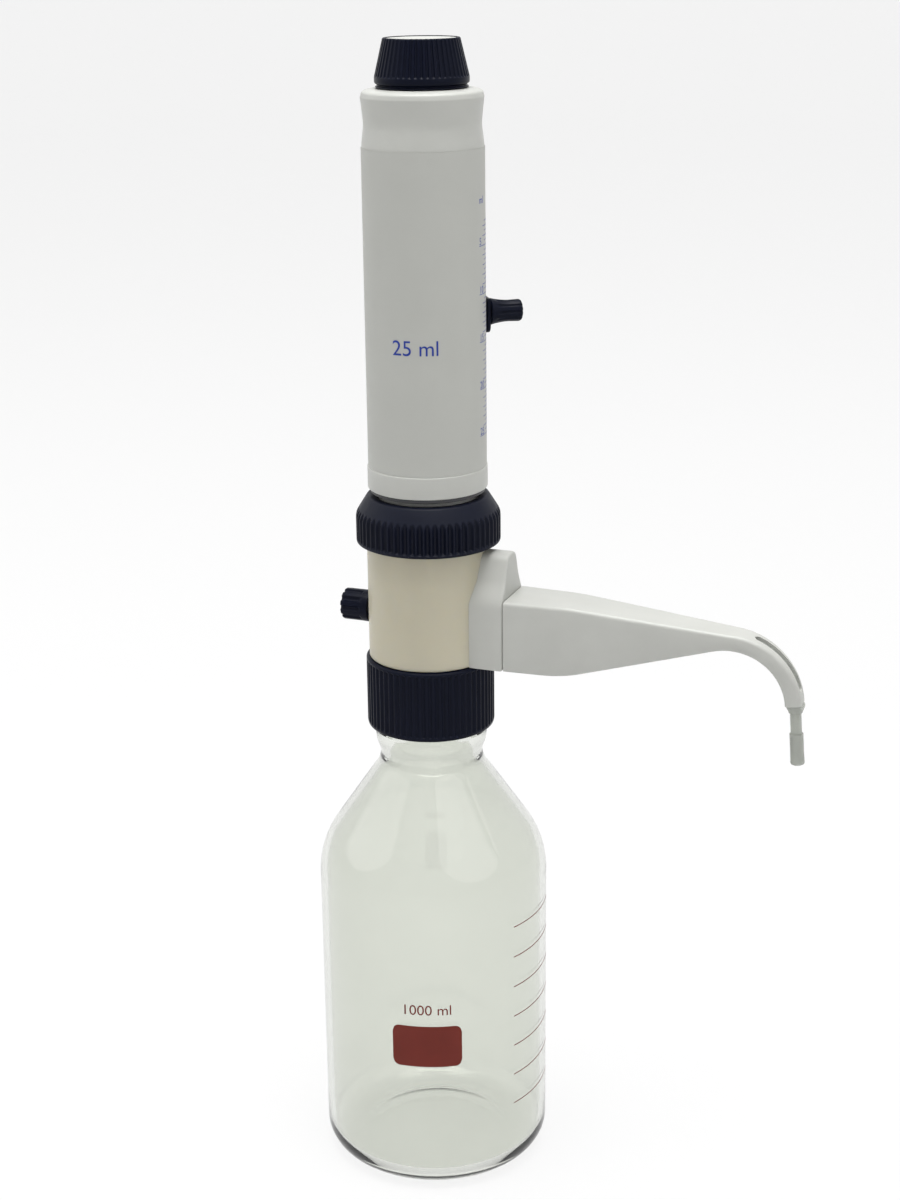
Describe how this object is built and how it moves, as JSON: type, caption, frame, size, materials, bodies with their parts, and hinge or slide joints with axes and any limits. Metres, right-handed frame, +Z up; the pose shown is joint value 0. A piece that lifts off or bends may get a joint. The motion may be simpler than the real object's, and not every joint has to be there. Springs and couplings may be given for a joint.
{
  "type": "bottle-top dispenser",
  "caption": "Lab bottle with a bottle-top dispenser: sliding sleeve over a glass cylinder, volume clamp knob, valve knob and a hooked discharge arm with tip cap.",
  "frame": {"origin": "centre of the bottle's flat resting ring, on the bench", "axes": "+Z up along the bottle and the sleeve, +X along the discharge arm towards its tip, +Y to the side of the volume knob"},
  "size_m": [0.215, 0.101, 0.4934],
  "materials": {
    "clear_glass": "smooth clear glass, faint green-grey",
    "navy_plastic": "moulded dark blue, semi-gloss",
    "navy_satin": "moulded dark blue, satin",
    "cream_plastic": "turned cream plastic, slightly translucent",
    "grey_plastic": "light warm grey, semi-gloss",
    "scale_film": "thin printed film",
    "dark_ring": "dark grey sliding plastic",
    "clear_tube": "clear flexible plastic",
    "white_plastic": "white chemical-proof plastic",
    "white_ceramic": "polished ball",
    "bright_steel": "bright steel",
    "dark_rubber": "smooth seal rubber"
  },
  "bodies": {
    "bottle": {"bottle": "clear_glass"},
    "bottle_nut": {"bottle_nut": "navy_plastic"},
    "head": {"valve_block": "cream_plastic", "bottle_gasket": "dark_rubber", "filling_valve_body": "white_plastic", "filling_valve_cage": "white_plastic", "discharge_valve_body": "white_plastic", "discharge_spring": "bright_steel", "glass_cylinder": "clear_glass", "cylinder_seal": "dark_rubber", "centring_ring": "white_plastic", "guide_tube": "white_plastic", "stop_ring": "dark_ring", "base_cover": "grey_plastic", "arm_casing": "grey_plastic", "discharge_tube": "clear_tube", "nozzle_cone": "clear_tube"},
    "filling_ball": {"filling_ball": "white_ceramic"},
    "discharge_ball": {"discharge_ball": "white_ceramic"},
    "recirculation_valve": {"valve_spindle": "bright_steel", "spindle_seals": "dark_rubber", "recirculation_knob": "navy_plastic"},
    "union_nut": {"union_nut": "navy_satin"},
    "sleeve": {"sleeve": "grey_plastic", "foot_ring": "grey_plastic", "guide_bush": "dark_ring", "scale_film": "scale_film", "piston": "white_plastic", "piston_seal": "white_plastic", "piston_rod": "bright_steel", "calibration_nut": "bright_steel"},
    "volume_slide": {"volume_pointer": "navy_plastic", "clamp_plate": "bright_steel"},
    "volume_knob": {"volume_knob": "navy_plastic", "clamp_screw": "bright_steel"},
    "top_cap": {"top_cap": "navy_plastic", "cap_disc": "grey_plastic"},
    "tip_cap": {"tip_cap": "clear_tube"}
  },
  "joints": [
    {"name": "head_lift", "type": "slide", "parent": "bottle", "child": "bottle_nut", "axis": [0, 0, 1], "range_m": [0, 0.05]},
    {"name": "head_swivel", "type": "hinge", "parent": "bottle_nut", "child": "head", "pos_m": [0, 0, 0.2363], "axis": [0, 0, 1], "continuous": true},
    {"name": "union_nut_turn", "type": "hinge", "parent": "head", "child": "union_nut", "pos_m": [0, 0, 0.298], "axis": [0, 0, 1], "range_deg": [0, 360]},
    {"name": "recirculation_turn", "type": "hinge", "parent": "head", "child": "recirculation_valve", "pos_m": [-0.02, 0, 0.25471], "axis": [-1, 0, 0], "range_deg": [0, 90]},
    {"name": "filling_ball_lift", "type": "slide", "parent": "head", "child": "filling_ball", "axis": [0, 0, 1], "range_m": [0, 0.0015]},
    {"name": "discharge_ball_open", "type": "slide", "parent": "head", "child": "discharge_ball", "axis": [1, 0, 0], "range_m": [0, 0.0012], "stiffness_N_per_m": 50, "springref_m": -0.002, "deforming": ["discharge_spring"]},
    {"name": "tip_cap_pull", "type": "slide", "parent": "head", "child": "tip_cap", "axis": [0.0785, 0, -0.9969], "range_m": [0, 0.02]},
    {"name": "piston_stroke", "type": "slide", "parent": "head", "child": "sleeve", "axis": [0, 0, 1], "range_m": [0, 0.0974]},
    {"name": "cap_turn", "type": "hinge", "parent": "sleeve", "child": "top_cap", "pos_m": [0, 0, 0.48], "axis": [0, 0, 1], "range_deg": [0, 720]},
    {"name": "volume_setting", "type": "slide", "parent": "sleeve", "child": "volume_slide", "axis": [0, 0, 1], "range_m": [-0.0487, 0.0487]},
    {"name": "volume_clamp", "type": "hinge", "parent": "volume_slide", "child": "volume_knob", "pos_m": [0.02819, 0.01901, 0.38351], "axis": [0.829, 0.5592, 0], "range_deg": [0, 360]}
  ]
}
